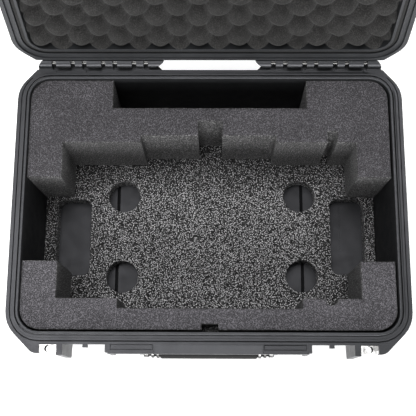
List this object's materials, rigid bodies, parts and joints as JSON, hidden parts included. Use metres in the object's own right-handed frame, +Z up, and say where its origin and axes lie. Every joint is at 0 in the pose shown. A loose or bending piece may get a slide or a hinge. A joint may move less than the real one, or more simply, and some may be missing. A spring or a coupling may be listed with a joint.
{
  "type": "drone carrying case",
  "caption": "Hard waterproof carrying case, open, with foam cut for a drone, an egg-crate foam lid, pin hinges, trigger latches, hasps and a folding handle.",
  "frame": {"origin": "middle of the underside of the base, on the flat rail that it rests on", "axes": "+Z up, +Y from the handle side to the hinge side, +X to the right as seen from the handle"},
  "size_m": [0.5058, 0.52, 0.5368],
  "materials": {
    "shell_plastic": "textured injection-moulded charcoal polypropylene",
    "hardware_plastic": "satin glass-filled nylon",
    "cut_foam": "fine-celled closed-cell polyethylene foam, water-jet cut",
    "pad_foam": "coarse open skin of closed-cell foam with glossy cell faces",
    "lid_foam": "open-celled convoluted polyurethane foam",
    "seal_rubber": "matt moulded gasket",
    "grip_rubber": "soft-touch overmould",
    "steel": "polished stainless steel"
  },
  "bodies": {
    "base": {"base_shell": "shell_plastic", "foam_floor_pad": "pad_foam", "foam_back_block": "cut_foam", "foam_front_block": "cut_foam", "valve_body": "hardware_plastic", "valve_cap": "hardware_plastic", "hinge_pin_left": "steel", "hinge_pin_right": "steel", "base_hasp_plate_left": "steel", "base_hasp_plate_right": "steel", "handle_pin_left": "steel", "handle_pin_right": "steel"},
    "lid": {"lid_shell": "shell_plastic", "lid_gasket": "seal_rubber", "lid_foam": "lid_foam", "lid_hasp_plate_left": "steel", "lid_hasp_plate_right": "steel", "latch_pin_left": "steel", "latch_pin_right": "steel"},
    "latch_left": {"latch_lever_left": "hardware_plastic", "trigger_pin_left": "steel", "trigger_spring_left": "steel"},
    "trigger_left": {"latch_trigger_left": "hardware_plastic"},
    "latch_right": {"latch_lever_right": "hardware_plastic", "trigger_pin_right": "steel", "trigger_spring_right": "steel"},
    "trigger_right": {"latch_trigger_right": "hardware_plastic"},
    "handle": {"handle_frame": "hardware_plastic", "handle_grip": "grip_rubber", "handle_ferrule_left": "steel", "handle_ferrule_right": "steel"}
  },
  "joints": [
    {"name": "lid_hinge", "type": "hinge", "parent": "base", "child": "lid", "pos_m": [0, 0.1885, 0.1374], "axis": [1, 0, 0], "range_deg": [0, 104]},
    {"name": "latch_left_hinge", "type": "hinge", "parent": "lid", "child": "latch_left", "pos_m": [-0.1535, 0.29123, 0.49981], "axis": [1, 0, 0], "range_deg": [0, 110]},
    {"name": "trigger_left_press", "type": "hinge", "parent": "latch_left", "child": "trigger_left", "pos_m": [-0.1535, 0.31423, 0.52229], "axis": [1, 0, 0], "range_deg": [0, 12], "stiffness_Nm_per_rad": 0.05, "springref_deg": -14.32},
    {"name": "latch_right_hinge", "type": "hinge", "parent": "lid", "child": "latch_right", "pos_m": [0.1535, 0.29123, 0.49981], "axis": [1, 0, 0], "range_deg": [0, 110]},
    {"name": "trigger_right_press", "type": "hinge", "parent": "latch_right", "child": "trigger_right", "pos_m": [0.1535, 0.31423, 0.52229], "axis": [1, 0, 0], "range_deg": [0, 12], "stiffness_Nm_per_rad": 0.05, "springref_deg": -14.32},
    {"name": "handle_swing", "type": "hinge", "parent": "base", "child": "handle", "pos_m": [0, -0.1825, 0.1124], "axis": [-1, 0, 0], "range_deg": [0, 95]}
  ]
}
